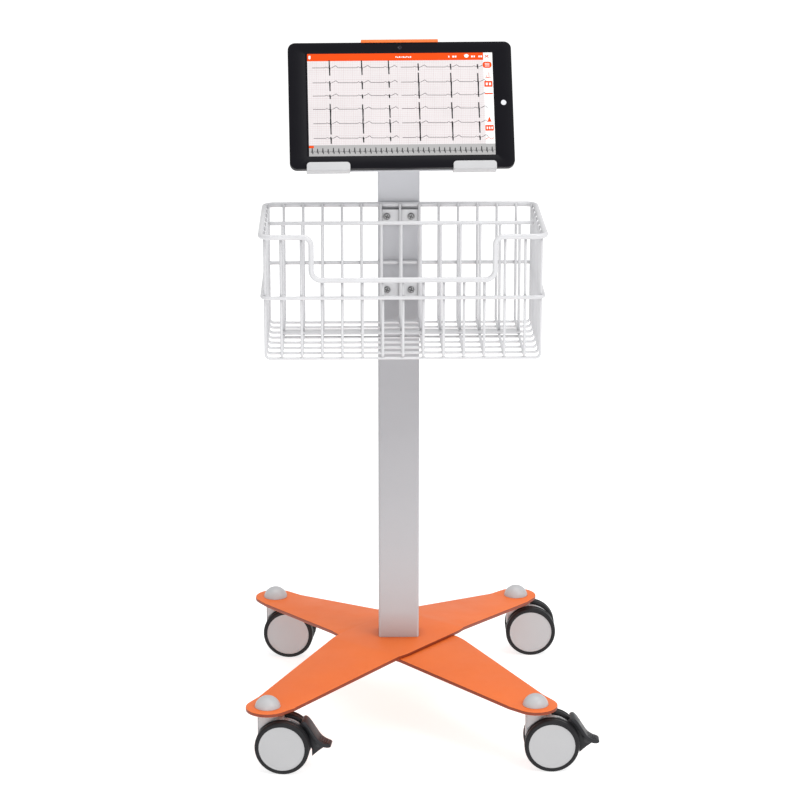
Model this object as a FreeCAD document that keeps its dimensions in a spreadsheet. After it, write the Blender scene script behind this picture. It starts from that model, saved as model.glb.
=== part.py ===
import FreeCAD, Part
import Sketcher
import math
import os

# Tablet ECG recorder on a roll stand.  Millimetres, +X right, +Y back, +Z up.
# Origin on the floor, on the column's axis.  Screen and basket face -Y.

App = FreeCAD
V = App.Vector
doc = App.newDocument("ecg_stand")

# ------------------------------------------------------------------ sheet
DIM = [
    ("caster_half_x", 182.5, "stem axis from the column axis, along X"),
    ("caster_half_y", 225.0, "stem axis from the column axis, along Y"),
    ("plate_thick", 5.0, "steel of the crossed base plates"),
    ("pad_top", 89.0, "top of the level pads over the casters"),
    ("hub_top", 112.0, "top of the upper plate under the column"),
    ("hub_half_len", 74.0, "level middle of each plate, half length"),
    ("hub_half_wide", 63.0, "half width of each plate at the middle"),
    ("pad_rad", 30.0, "round end of each plate"),
    ("wheel_rad", 37.5, "tyre outside radius"),
    ("hub_rad", 32.4, "disc radius"),
    ("wheel_in", 9.0, "inner face of a wheel from the caster's middle"),
    ("wheel_out", 26.0, "outer face of a wheel from the caster's middle"),
    ("trail", 22.0, "wheel axis behind the stem axis"),
    ("axle_rad", 4.0, "caster axle"),
    ("stem_rad", 6.0, "caster stem journal"),
    ("col_w", 57.0, "column width"),
    ("col_d", 40.0, "column depth"),
    ("col_wall", 2.0, "column wall"),
    ("col_corner", 3.5, "column corner radius"),
    ("col_top", 846.0, "top of the column"),
    ("rim_half_x", 185.3, "basket rim centre line, half width"),
    ("rim_back", 24.0, "rim centre line behind, from the column axis"),
    ("rim_front", 240.5, "rim centre line in front"),
    ("rim_height", 743.0, "rim centre line height"),
    ("rim_wire", 3.5, "rim tube radius"),
    ("ring_wire", 2.5, "middle ring radius"),
    ("ring_height", 662.0, "middle ring height"),
    ("grid_wire", 1.8, "grid wire radius"),
    ("grid_pitch", 26.5, "pitch of the 13 wires across"),
    ("floor_height", 579.0, "lower floor wires, centre line"),
    ("dip_half", 119.5, "half width of the front dip"),
    ("dip_height", 686.0, "bottom of the front dip, centre line"),
    ("basket_shift", 1.5, "basket to the right of the column's middle"),
    ("divider_at", 112.0, "divider plane in front of the column axis"),
    ("tab_w", 302.0, "tablet width"),
    ("tab_up", 87.5, "tablet top edge above the screen centre"),
    ("tab_down", 89.0, "tablet bottom edge below the screen centre"),
    ("tab_thick", 12.0, "tablet thickness"),
    ("screen_w", 254.6, "display width"),
    ("screen_tall", 143.4, "display height"),
    ("tilt_deg", 27.0, "tablet leaning back, at rest"),
    ("turn_deg", 2.3, "head turned about the column, at rest"),
    ("scr_y", 60.0, "screen centre in front of the column axis"),
    ("scr_z", 887.0, "screen centre height"),
    ("piv_y", 22.0, "tilt shaft in front of the column axis"),
    ("piv_z", 880.0, "tilt shaft height"),
    ("shaft_rad", 5.0, "tilt shaft"),
]
sheet = doc.addObject("Spreadsheet::Sheet", "Dimensions")
for i, (alias, value, note) in enumerate(DIM):
    sheet.set("A%d" % (i + 1), alias)
    sheet.set("B%d" % (i + 1), str(value))
    sheet.set("C%d" % (i + 1), note)
    sheet.setAlias("B%d" % (i + 1), alias)
doc.recompute()


def g(alias):
    return float(sheet.get(alias))


NODES = []


def node(obj, label):
    obj.Label = label
    NODES.append((obj, label))
    return obj


def shape_node(label, shape, placement=None):
    f = doc.addObject("Part::Feature", "F_" + label)
    f.Shape = shape
    if placement is not None:
        f.Placement = placement
    return node(f, label)


def bind(obj, **kw):
    for prop, expr in kw.items():
        obj.setExpression(prop, expr)
    return obj


def cylinder(name, rad, tall, pos=V(0, 0, 0), direction=V(0, 0, 1)):
    c = doc.addObject("Part::Cylinder", name)
    for prop, val in (("Radius", rad), ("Height", tall)):
        if isinstance(val, str):
            c.setExpression(prop, val)
        else:
            setattr(c, prop, val)
    c.Placement = App.Placement(pos, App.Rotation(V(0, 0, 1), direction))
    return c


def box(name, lx, ly, lz, pos):
    b = doc.addObject("Part::Box", name)
    for prop, val in (("Length", lx), ("Width", ly), ("Height", lz)):
        if isinstance(val, str):
            b.setExpression(prop, val)
        else:
            setattr(b, prop, val)
    b.Placement = App.Placement(pos, App.Rotation())
    return b


def cut(name, base, tool):
    c = doc.addObject("Part::Cut", name)
    c.Base = base
    c.Tool = tool
    return c


def fuse(name, shapes):
    f = doc.addObject("Part::MultiFuse", name)
    f.Shapes = shapes
    return f


def rod(p, q, r):
    d = q.sub(p)
    return Part.makeCylinder(r, d.Length, p, d)


def block(x0, x1, y0, y1, z0, z1):
    return Part.makeBox(x1 - x0, y1 - y0, z1 - z0, V(x0, y0, z0))


def merge(shapes):
    s = shapes[0]
    if len(shapes) > 1:
        s = s.fuse(shapes[1:])
    try:
        s = s.removeSplitter()
    except Exception:
        pass
    if s.ShapeType == "Compound" and len(s.Solids) == 1:
        s = s.Solids[0]
    return s


def prism(points, direction):
    w = Part.makePolygon(points + [points[0]])
    return Part.Face(w).extrude(direction)


def bent_rod(points, bends, r):
    """Round bar along straight runs joined by tangent arcs of radius bends[i]."""
    edges = []
    last = points[0]
    for i in range(1, len(points) - 1):
        a, b, c = points[i - 1], points[i], points[i + 1]
        u = a.sub(b).normalize()
        w = c.sub(b).normalize()
        ang = u.getAngle(w)
        t = bends[i - 1] / math.tan(ang / 2)
        p1 = b + u * t
        p2 = b + w * t
        mid_dir = (u + w).normalize()
        cen = b + mid_dir * (bends[i - 1] / math.sin(ang / 2))
        mid = cen - mid_dir * bends[i - 1]
        edges.append(Part.makeLine(last, p1))
        edges.append(Part.Arc(p1, mid, p2).toShape())
        last = p2
    edges.append(Part.makeLine(last, points[-1]))
    path = Part.Wire(edges)
    d = points[1].sub(points[0])
    circ = Part.Wire([Part.makeCircle(r, points[0], d)])
    s = path.makePipeShell([circ], True, False)
    want = math.pi * r * r * sum(e.Length for e in edges)
    if not s.isValid() or abs(s.Volume - want) > 0.02 * want:
        raise RuntimeError("bent rod is wrong: %.1f for %.1f" % (s.Volume, want))
    return s


# ------------------------------------------------------------------ base
CX, CY = g("caster_half_x"), g("caster_half_y")
TP, PADT, HUBT = g("plate_thick"), g("pad_top"), g("hub_top")
LEN = math.hypot(CX, CY)
BOLTS = [(sx * 17.0, sy * 10.0) for sx in (-1, 1) for sy in (-1, 1)]


def base_plate(label, angle_deg, hub_top, over=None):
    """Long six-sided plate, level in the middle and at both ends, bent between."""
    w, r, s0 = g("hub_half_wide"), g("pad_rad"), 60.0
    # tangent from the wide part's corner to the end circle
    dx = LEN - s0
    dist = math.hypot(dx, w)
    a0 = math.atan2(-w, dx)
    al = math.asin(r / dist)
    tl = math.sqrt(dist * dist - r * r)
    tx = s0 + tl * math.cos(a0 + al)
    ty = w + tl * math.sin(a0 + al)
    up = [(-tx, ty), (-s0, w), (s0, w), (tx, ty)]
    dn = [(tx, -ty), (s0, -w), (-s0, -w), (-tx, -ty)]
    P = [V(x, y, 0) for x, y in up + dn]
    edges = [Part.makeLine(P[0], P[1]), Part.makeLine(P[1], P[2]), Part.makeLine(P[2], P[3]),
             Part.Arc(P[3], V(LEN + r, 0, 0), P[4]).toShape(),
             Part.makeLine(P[4], P[5]), Part.makeLine(P[5], P[6]), Part.makeLine(P[6], P[7]),
             Part.Arc(P[7], V(-LEN - r, 0, 0), P[0]).toShape()]
    outline = Part.Face(Part.Wire(edges)).extrude(V(0, 0, 200))
    h0, s1, s2, s3 = hub_top, g("hub_half_len"), LEN - 19.5, LEN + 60.0
    top = [(-s3, PADT), (-s2, PADT), (-s1, h0), (s1, h0), (s2, PADT), (s3, PADT)]
    # same thickness square to the sheet on the sloping arms
    slope = math.atan2(h0 - PADT, s2 - s1)
    sh = TP * math.tan(slope / 2)
    bot = [(s3, PADT - TP), (s2 - sh, PADT - TP), (s1 - sh, h0 - TP), (-s1 + sh, h0 - TP), (-s2 + sh, PADT - TP), (-s3, PADT - TP)]
    prof = prism([V(s, -100, z) for s, z in top + bot], V(0, 200, 0))
    s = outline.common(prof)
    s = s.Solids[0]
    for sg in (-1, 1):
        s = s.cut(Part.makeCylinder(5.3, 40, V(sg * LEN, 0, 70)))
    rot = App.Placement(V(0, 0, 0), App.Rotation(V(0, 0, 1), angle_deg))
    s.Placement = rot
    for bx, by in BOLTS:
        s = s.cut(Part.makeCylinder(4.3, 60, V(bx, by, 80)))
    if over is not None:
        # relieved where the upper plate's bends come down beside it
        s = s.cut(over.Shape)
        s = max(s.Solids, key=lambda q: q.Volume)
    return shape_node(label, s)


ANG = math.degrees(math.atan2(CY, CX))
upper = base_plate("base_plate_upper", ANG, HUBT)
base_plate("base_plate_lower", -ANG, HUBT - TP, upper)

# column: rounded rectangular tube
body = doc.addObject("PartDesign::Body", "ColumnBody")


def plane(b, role):
    return [f for f in b.Origin.OriginFeatures if f.Role == role][0]


def rect_sketch(b, name, wexp, dexp, role="XY_Plane", off=0.0):
    sk = b.newObject("Sketcher::SketchObject", name)
    sk.AttachmentSupport = [(plane(b, role), "")]
    sk.MapMode = "FlatFace"
    if off:
        sk.AttachmentOffset = App.Placement(V(0, 0, off), App.Rotation())
    add_rect(sk, wexp, dexp)
    return sk


def add_rect(sk, wexp, dexp):
    n = sk.GeometryCount
    pts = [V(-10, -8, 0), V(10, -8, 0), V(10, 8, 0), V(-10, 8, 0)]
    for i in range(4):
        sk.addGeometry(Part.LineSegment(pts[i], pts[(i + 1) % 4]), False)
    for i in range(4):
        sk.addConstraint(Sketcher.Constraint("Coincident", n + i, 2, n + (i + 1) % 4, 1))
    sk.addConstraint(Sketcher.Constraint("Horizontal", n))
    sk.addConstraint(Sketcher.Constraint("Horizontal", n + 2))
    sk.addConstraint(Sketcher.Constraint("Vertical", n + 1))
    sk.addConstraint(Sketcher.Constraint("Vertical", n + 3))
    sk.addConstraint(Sketcher.Constraint("Symmetric", n, 1, n + 1, 2, -1, 1))
    c1 = sk.addConstraint(Sketcher.Constraint("DistanceX", n, 1, n, 2, 20))
    c2 = sk.addConstraint(Sketcher.Constraint("DistanceY", n + 1, 1, n + 1, 2, 16))
    sk.setExpression("Constraints[%d]" % c1, wexp)
    sk.setExpression("Constraints[%d]" % c2, dexp)


sk = rect_sketch(body, "ColumnSection", "Dimensions.col_w", "Dimensions.col_d")
pad = body.newObject("PartDesign::Pad", "ColumnPad")
pad.Profile = sk
pad.setExpression("Length", "Dimensions.col_top - Dimensions.hub_top")
doc.recompute()
vert = []
for i, e in enumerate(pad.Shape.Edges):
    d = e.Vertexes[1].Point.sub(e.Vertexes[0].Point)
    if abs(d.x) < 1e-6 and abs(d.y) < 1e-6:
        vert.append("Edge%d" % (i + 1))
fil = body.newObject("PartDesign::Fillet", "ColumnCorners")
fil.Base = (pad, vert)
fil.setExpression("Radius", "Dimensions.col_corner")
doc.recompute()
sk2 = rect_sketch(body, "ColumnInside", "Dimensions.col_w - 2 * Dimensions.col_wall", "Dimensions.col_d - 2 * Dimensions.col_wall")
pk = body.newObject("PartDesign::Pocket", "ColumnHollow")
pk.Profile = sk2
pk.Type = 1
pk.Reversed = True
doc.recompute()
# screw holes for the basket brackets, through the front wall
SCREW_X, BR_UP, BR_LO = 16.5, 727.0, 624.0
sk3 = body.newObject("Sketcher::SketchObject", "BracketHoles")
sk3.AttachmentSupport = [(plane(body, "XZ_Plane"), "")]
sk3.MapMode = "FlatFace"
for sx in (-1, 1):
    for zz in (BR_UP, BR_LO):
        sk3.addGeometry(Part.Circle(V(sx * SCREW_X, zz - HUBT, 0), V(0, 0, 1), 2.6), False)
pk3 = body.newObject("PartDesign::Pocket", "BracketHolesCut")
pk3.Profile = sk3
pk3.Type = 0
pk3.Length = 30
doc.recompute()
v0 = fil.Shape.Volume
if pk.Shape.Volume > 0.5 * v0:
    pk.Reversed = False
    doc.recompute()
front_hit = pk3.Shape.isInside(V(SCREW_X, -(g("col_d") / 2 - 1), BR_UP - HUBT), 0.01, True)
if front_hit:
    pk3.Reversed = True
    doc.recompute()
body.Placement = App.Placement(V(0, 0, HUBT), App.Rotation())
node(body, "column")

# threaded foot inside the column's lower end
foot = box("FootBlock", "Dimensions.col_w - 2 * Dimensions.col_wall - 0.2", "Dimensions.col_d - 2 * Dimensions.col_wall - 0.2", 26,
           V(-(g("col_w") / 2 - g("col_wall") - 0.1), -(g("col_d") / 2 - g("col_wall") - 0.1), 0))
holes = fuse("FootHoles", [cylinder("FootHole%d" % i, 4.05, 40, V(bx, by, -5)) for i, (bx, by) in enumerate(BOLTS)])
foot_cut = cut("FootCut", foot, holes)
foot_cut.Placement = App.Placement(V(0, 0, HUBT), App.Rotation())
node(foot_cut, "column_foot")

bolt_list = []
zb = HUBT - 2 * TP
for bx, by in BOLTS:
    head = Part.makeCylinder(6.5, 6.0, V(bx, by, zb - 6.0))
    head = head.cut(prism([V(bx + 3.2 * math.cos(math.radians(60 * k)), by + 3.2 * math.sin(math.radians(60 * k)), zb - 6.0) for k in range(6)], V(0, 0, 3.5)))
    bolt_list.append(merge([head, Part.makeCylinder(4.0, 34.0, V(bx, by, zb))]))
shape_node("base_bolts", Part.makeCompound(bolt_list))

# ------------------------------------------------------------------ casters
CASTERS = {"fl": (-CX, -CY, -7.0), "fr": (CX, -CY, -1.0), "bl": (-CX, CY, -7.0), "br": (CX, CY, -1.0)}
RW, HR, WI, WO, TR, AR = g("wheel_rad"), g("hub_rad"), g("wheel_in"), g("wheel_out"), g("trail"), g("axle_rad")
PAD_BOT = PADT - TP

stems, nuts, caps = [], [], []
for key in ("fl", "fr", "bl", "br"):
    x, y, yaw = CASTERS[key]
    s = merge([Part.makeCylinder(g("stem_rad"), PAD_BOT - 3 - 48, V(x, y, 48)),
               Part.makeCylinder(11.0, 3.0, V(x, y, PAD_BOT - 3)),
               Part.makeCylinder(5.0, TP + 11.0, V(x, y, PAD_BOT))])
    stems.append(s)
    hexa = prism([V(x + 9.5 * math.cos(math.radians(60 * k + 15)), y + 9.5 * math.sin(math.radians(60 * k + 15)), PADT) for k in range(6)], V(0, 0, 7))
    nuts.append(hexa.cut(Part.makeCylinder(5.05, 9, V(x, y, PADT - 1))))
    # domed cover: a shell with a flat rim on the plate
    ro, ho = 17.7, 15.0
    R = (ro * ro + ho * ho) / (2 * ho)
    zc = ho - R
    dome = Part.makeSphere(R, V(0, 0, zc)).common(Part.makeCylinder(30, 40, V(0, 0, 0)))
    ri = R - 1.8
    inner = Part.makeSphere(ri, V(0, 0, zc)).common(Part.makeCylinder(30, 40, V(0, 0, -5)))
    cap = dome.cut(inner)
    cap = cap.Solids[0] if cap.ShapeType != "Solid" else cap
    cap = cap.copy()
    cap.translate(V(x, y, PADT))
    caps.append(cap)
shape_node("caster_stems", Part.makeCompound(stems))
shape_node("stem_nuts", Part.makeCompound(nuts))
shape_node("stem_caps", Part.makeCompound(caps))

# pedal pivot, from the wheel axis, in the caster's own frame
PVX, PVZ = 16.0, 16.0


def housing_shape(brake):
    hw = WI - 0.6
    disc = Part.makeCylinder(33.0, 2 * hw, V(TR, -hw, RW), V(0, 1, 0))
    neck = Part.makeCylinder(14.0, PAD_BOT - 3.3 - 44.0, V(0, 0, 44.0))
    web = block(-13.0, TR, -hw, hw, 40.0, 74.0)
    # the round neck stays clear of both wheels
    for y0w in (-30.0, hw):
        neck = neck.cut(Part.makeCylinder(RW + 0.8, 30.0 - hw, V(TR, y0w, RW), V(0, 1, 0)))
    s = merge([disc, neck, web])
    # low front edge stays clear of the floor
    s = s.cut(block(-60, 80, -20, 20, -5, 16.0))
    s = s.cut(Part.makeCylinder(g("stem_rad") + 0.06, 60, V(0, 0, 47.5)))
    s = s.cut(Part.makeCylinder(AR, 40, V(TR, -20, RW), V(0, 1, 0)))
    if brake:
        s = s.cut(block(TR + 8.0, TR + 60, -4.3, 4.3, 10, 90))
        s = s.cut(Part.makeCylinder(2.56, 40, V(TR + PVX, -20, RW + PVZ), V(0, 1, 0)))
    return merge([s]) if s.ShapeType == "Solid" else s.Solids[0]


def pedal_shape():
    """Foot lever with a tongue between the wheels, a curved tread and a rib."""
    c = (TR, RW)

    def pt(dx, dz):
        return V(c[0] + dx, 0, c[1] + dz)
    # tongue in the housing's slot
    tongue = [(PVX - 5.5, PVZ - 3), (PVX + 2, PVZ - 6), (34.5, 8.0), (47.0, 3.0), (47.0, 9.0), (28.5, 35.0), (PVX - 3, PVZ + 5.5)]
    tg = prism([pt(a, b) + V(0, -3.7, 0) for a, b in tongue], V(0, 7.4, 0))
    pin = Part.makeCylinder(2.5, 2 * (WI - 0.8), V(TR + PVX, -(WI - 0.8), RW + PVZ), V(0, 1, 0))
    # tread: a curved plate that clears the tyres
    hw = 16.0
    out = [(24.5, 33.5), (30.5, 35.5), (38.0, 27.0), (45.0, 15.5), (51.0, 7.5), (57.5, 3.6), (63.0, 2.6), (65.5, 0.8), (64.5, -1.6), (60.0, -2.4),
           (52.0, 0.4), (46.5, 5.0), (40.5, 13.5), (34.0, 24.0), (27.5, 30.0)]
    tread = prism([pt(a, b) + V(0, -hw, 0) for a, b in out], V(0, 2 * hw, 0))
    # rib under the tread
    rib = [(40.3, 13.6), (59.0, -1.0), (48.0, -9.0), (38.4, -17.8), (39.6, -8.0)]
    rb = prism([pt(a, b) + V(0, -3.7, 0) for a, b in rib], V(0, 7.4, 0))
    s = merge([tread, tg, rb, pin])
    return s if s.ShapeType == "Solid" else s.Solids[0]


HS_B, HS_P = housing_shape(True), housing_shape(False)
PEDAL = pedal_shape()

for key in ("fl", "fr", "bl", "br"):
    x, y, yaw = CASTERS[key]
    pl = App.Placement(V(x, y, 0), App.Rotation(V(0, 0, 1), yaw))
    brake = key in ("fl", "fr")
    shape_node("caster_%s_housing" % key, HS_B if brake else HS_P, pl)
    # axle: a plain pin across the housing
    ax = cylinder("Axle_" + key, "Dimensions.axle_rad", "2 * (Dimensions.wheel_out - 5)", V(0, 0, 0))
    ax.Placement = pl.multiply(App.Placement(V(TR, -(WO - 5), RW), App.Rotation(V(1, 0, 0), -90)))
    node(ax, "caster_%s_axle" % key)
    for side, sg in (("a", -1), ("b", 1)):
        tag = "%s_%s" % (key, side)
        # wheel frame: local Z runs outwards along the axle
        wp = pl.multiply(App.Placement(V(TR, sg * WI, RW), App.Rotation(V(1, 0, 0), 90 if sg < 0 else -90)))
        hubc = cylinder("HubDisc_" + tag, "Dimensions.hub_rad", "Dimensions.wheel_out - Dimensions.wheel_in - 0.6")
        dish = cylinder("HubDish_" + tag, "Dimensions.hub_rad - 2.2", 3.0)
        dish.setExpression("Placement.Base.z", "Dimensions.wheel_out - Dimensions.wheel_in - 1.1")
        back = doc.addObject("Part::Torus", "HubBack_" + tag)
        back.Radius1 = 18.0
        back.Radius2 = 8.0
        bore = cylinder("HubBore_" + tag, "Dimensions.axle_rad + 0.05", "Dimensions.wheel_out - Dimensions.wheel_in - 3.5")
        bore.setExpression("Placement.Base.z", "-1")
        h = cut("Hub_" + tag, hubc, fuse("HubTools_" + tag, [dish, back, bore]))
        h.Placement = wp
        node(h, "hub_" + tag)
        tb = doc.addObject("PartDesign::Body", "TyreBody_" + tag)
        tsk = tb.newObject("Sketcher::SketchObject", "TyreSection_" + tag)
        tsk.AttachmentSupport = [(plane(tb, "XZ_Plane"), "")]
        tsk.MapMode = "FlatFace"
        a, b2 = 0.2, WO - WI
        f = 3.4
        pts = [V(HR, a, 0), V(RW - f, a, 0), V(RW, a + f, 0), V(RW, b2 - f, 0), V(RW - f, b2, 0), V(HR, b2, 0)]
        q = f * (1 - math.sqrt(0.5))
        tsk.addGeometry(Part.LineSegment(pts[0], pts[1]), False)
        tsk.addGeometry(Part.ArcOfCircle(Part.Circle(V(RW - f, a + f, 0), V(0, 0, 1), f), -math.pi / 2, 0), False)
        tsk.addGeometry(Part.LineSegment(pts[2], pts[3]), False)
        tsk.addGeometry(Part.ArcOfCircle(Part.Circle(V(RW - f, b2 - f, 0), V(0, 0, 1), f), 0, math.pi / 2), False)
        tsk.addGeometry(Part.LineSegment(pts[4], pts[5]), False)
        tsk.addGeometry(Part.LineSegment(pts[5], pts[0]), False)
        rv = tb.newObject("PartDesign::Revolution", "TyreTurn_" + tag)
        rv.Profile = tsk
        rv.ReferenceAxis = (tsk, ["V_Axis"])
        rv.Angle = 360.0
        tb.Placement = wp
        node(tb, "tyre_" + tag)
    if brake:
        shape_node("pedal_" + key, PEDAL, pl)

# ------------------------------------------------------------------ basket
RX, YB, YF, RZ, RR = g("rim_half_x"), -g("rim_back"), -g("rim_front"), g("rim_height"), g("rim_wire")
GW, GP, MW = g("grid_wire"), g("grid_pitch"), g("ring_wire")
FZ, MZ = g("floor_height"), g("ring_height")
DH, DZ = g("dip_half"), g("dip_height")
CR = 15.0
SHIFT = App.Placement(V(g("basket_shift"), 0, 0), App.Rotation())
left = [V(0, YB, RZ), V(-RX, YB, RZ), V(-RX, YF, RZ), V(-DH, YF, RZ), V(-DH, YF, DZ), V(0, YF, DZ)]
rimL = bent_rod(left, [CR, CR, 11.0, 13.0], RR)
rimR = rimL.mirror(V(0, 0, 0), V(1, 0, 0))
shape_node("basket_rim", merge([rimL, rimR]), SHIFT)

# wires across: back and front walls and the floor between them
off = RR + GW + 0.02
AYB, AYF = YB - off, YF + off
AX = [GP * i for i in range(-6, 7)]
AZ = FZ + 2 * GW - 0.3
# wires along X with their side verticals
BXO = RX - off
BY = [-(-(AYB) + 2 * GW + 0.05) + 0.0]
B0, B7 = AYB - 2 * GW - 0.05, AYF + 2 * GW + 0.05
BY = [B0 + (B7 - B0) * k / 7.0 for k in range(8)]
RB = 6.0                          # bottom corner of the side wires
MO = MW + GW - 0.3                # ring stands this far outside the wires

back = [rod(V(x, AYB, FZ + GW - 0.3), V(x, AYB, RZ + 2), GW) for x in AX]
ring_b_y = AYB + MO
back.append(rod(V(-BXO + 12, ring_b_y, MZ), V(BXO - 12, ring_b_y, MZ), MW))
shape_node("basket_back_grid", merge(back), SHIFT)

ring_f_y = AYF - MO
short = [x for x in AX if abs(x) < DH - 5]
tall = [x for x in AX if abs(x) > DH - 5]
front = [rod(V(x, AYF, FZ + GW - 0.3), V(x, AYF, DZ + 1), GW) for x in short]
front.append(rod(V(-DH + 0.2, ring_f_y, MZ), V(DH - 0.2, ring_f_y, MZ), MW))
shape_node("basket_front_grid", merge(front), SHIFT)
corner = []
for sg in (-1, 1):
    c = [rod(V(x, AYF, FZ + GW - 0.3), V(x, AYF, RZ + 1), GW) for x in tall if x * sg > 0]
    c.append(rod(V(sg * (DH - 0.2), ring_f_y, MZ), V(sg * (BXO - 12), ring_f_y, MZ), MW))
    corner.append(merge(c))
shape_node("basket_front_corner_grids", Part.makeCompound(corner), SHIFT)

for label, sg in (("basket_left_grid", -1), ("basket_right_grid", 1)):
    parts = []
    for yk in BY:
        p = [V(sg * BXO, yk, RZ + 1), V(sg * BXO, yk, FZ), V(sg * (BXO - RB - 3), yk, FZ)]
        parts.append(bent_rod(p, [RB], GW))
    xr = sg * (BXO + MO)
    ring = bent_rod([V(sg * (BXO - 12), ring_b_y, MZ), V(xr, ring_b_y, MZ), V(xr, ring_f_y, MZ), V(sg * (BXO - 12), ring_f_y, MZ)], [11.0, 11.0], MW)
    parts.append(ring)
    shape_node(label, merge(parts), SHIFT)

floor = [rod(V(x, AYB - GW, AZ), V(x, AYF + GW, AZ), GW) for x in AX]
floor += [rod(V(-BXO + RB + 3, yk, FZ), V(BXO - RB - 3, yk, FZ), GW) for yk in BY]
shape_node("basket_floor_grid", merge(floor), SHIFT)

# divider: wires between a cross bar and a foot strip
DY = -g("divider_at")
zt = RZ - 8.0
zs = AZ + GW + 0.1
div = [rod(V(-BXO + GW + 0.1, DY, zt), V(BXO - GW - 0.1, DY, zt), 2.6)]
div += [rod(V(x, DY, zs + 1), V(x, DY, zt), GW) for x in AX]
div.append(block(-162, 162, DY - 12, DY + 12, zs, zs + 2.0))
shape_node("basket_divider", merge(div), SHIFT)

# channel brackets welded behind the back wires, screwed to the column
col_f = -g("col_d") / 2
yw = AYB + GW + 0.02


def channel(z0, z1):
    s = merge([block(-28, 28, yw, yw + 2.5, z0, z1), block(-28, 28, yw + 1, col_f, z1 - 2.5, z1), block(-28, 28, yw + 1, col_f, z0, z0 + 2.5)])
    return s


def drill(s, z):
    for sx in (-1, 1):
        s = s.cut(Part.makeCylinder(2.7, 20, V(sx * SCREW_X, yw - 5, z), V(0, 1, 0)))
    return s


# the upper channel stays under the rim
shape_node("basket_brackets", Part.makeCompound([drill(channel(716.0, 736.5), BR_UP), drill(channel(612.0, 634.0), BR_LO)]))

screws = []
for zz in (BR_UP, BR_LO):
    for sx in (-1, 1):
        xx = sx * SCREW_X
        head = Part.makeCylinder(4.6, 3.0, V(xx, yw - 3.0, zz), V(0, 1, 0))
        ee = [e for e in head.Edges if abs(e.BoundBox.YMin - (yw - 3.0)) < 1e-3 and abs(e.BoundBox.YMax - (yw - 3.0)) < 1e-3]
        head = head.makeFillet(1.6, ee)
        for a in (0, 90):
            slot = block(-2.6, 2.6, yw - 4, yw - 1.6, -0.55, 0.55)
            slot.rotate(V(0, 0, 0), V(0, 1, 0), a + 25)
            slot.translate(V(xx, 0, zz))
            head = head.cut(slot)
        screws.append(merge([head, Part.makeCylinder(2.5, 14.0, V(xx, yw, zz), V(0, 1, 0))]))
shape_node("basket_screws", Part.makeCompound(screws))

# ------------------------------------------------------------------ head
TILT, TURN = g("tilt_deg"), g("turn_deg")
turn = App.Placement(V(0, 0, 0), App.Rotation(V(0, 0, 1), TURN))
HP = turn.multiply(App.Placement(V(0, -g("scr_y"), g("scr_z")), App.Rotation(V(1, 0, 0), -TILT)))
# in this frame the screen's face is at Y = 0, its centre at the origin, Z runs up the screen
TW, TU, TD, TT = g("tab_w") / 2, g("tab_up"), g("tab_down"), g("tab_thick")
PT = g("piv_y"), g("piv_z")
pv = App.Placement(V(0, -g("scr_y"), g("scr_z")), App.Rotation(V(1, 0, 0), -TILT)).inverse().multVec(V(0, -PT[0], PT[1]))


def rounded(x0, x1, z0, z1, r, y0, y1):
    s = block(x0, x1, y0, y1, z0, z1)
    es = [e for e in s.Edges if abs(e.Vertexes[0].Point.y - e.Vertexes[1].Point.y) > 1e-6]
    return s.makeFillet(r, es)


def edges_at_y(s, y):
    return [e for e in s.Edges if abs(e.BoundBox.YMin - y) < 1e-3 and abs(e.BoundBox.YMax - y) < 1e-3]


SW, SH = g("screen_w") / 2, g("screen_tall") / 2
BZ = 1.8
bez = rounded(-TW, TW, -TD, TU, 10.0, 0, BZ)
bez = bez.makeFillet(1.0, edges_at_y(bez, 0.0))
bez = bez.cut(block(-SW - 0.2, SW + 0.2, -1, 5, -SH - 0.2, SH + 0.2))
bez = bez.cut(Part.makeCylinder(2.1, 5, V(0, -1, SH + 8), V(0, 1, 0)))
shape_node("tablet_bezel", bez if bez.ShapeType == "Solid" else bez.Solids[0], HP)

disp = box("DisplayModule", "Dimensions.screen_w", 3.0, "Dimensions.screen_tall", V(0, 0, 0))
disp.Placement = HP.multiply(App.Placement(V(-SW, 0.25, -SH), App.Rotation()))
node(disp, "tablet_display")

lens = cylinder("LensDisc", 2.0, 1.6)
lens.Placement = HP.multiply(App.Placement(V(0, 0.15, SH + 8), App.Rotation(V(1, 0, 0), -90)))
node(lens, "camera_lens")

rear = rounded(-TW, TW, -TD, TU, 10.0, BZ, TT)
rear = rear.makeFillet(3.0, edges_at_y(rear, TT))
rear = rear.cut(rounded(-TW + 2, TW - 2, -TD + 2, TU - 2, 8.0, BZ - 1, TT - 2))
PBX, VBX, BY0, BY1 = 112.0, 78.0, 5.0, 8.0
rear = rear.cut(block(PBX - 6.2, PBX + 6.2, BY0 - 0.2, BY1 + 0.2, TU - 5, TU + 5))
rear = rear.cut(block(VBX - 12.2, VBX + 12.2, BY0 - 0.2, BY1 + 0.2, TU - 5, TU + 5))
rear = rear.cut(Part.makeCylinder(4.3, 15, V(-TW - 1, 6.2, -20), V(1, 0, 0)))
rear = rear.cut(Part.makeCylinder(3.9, 15, V(TW + 1, 6.2, -40), V(-1, 0, 0)))
shape_node("tablet_rear_cover", rear if rear.ShapeType == "Solid" else rear.Solids[0], HP)


def button(half):
    s = block(-half, half, BY0, BY1, TU - 3.4, TU + 0.9)
    es = [e for e in s.Edges if abs(e.Vertexes[0].Point.z - (TU + 0.9)) < 1e-6 and abs(e.Vertexes[1].Point.z - (TU + 0.9)) < 1e-6]
    s = s.makeFillet(0.6, es)
    return merge([s, block(-half - 1.0, half + 1.0, BY0 - 0.6, BY1 + 0.6, TU - 4.6, TU - 3.0)])


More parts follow.
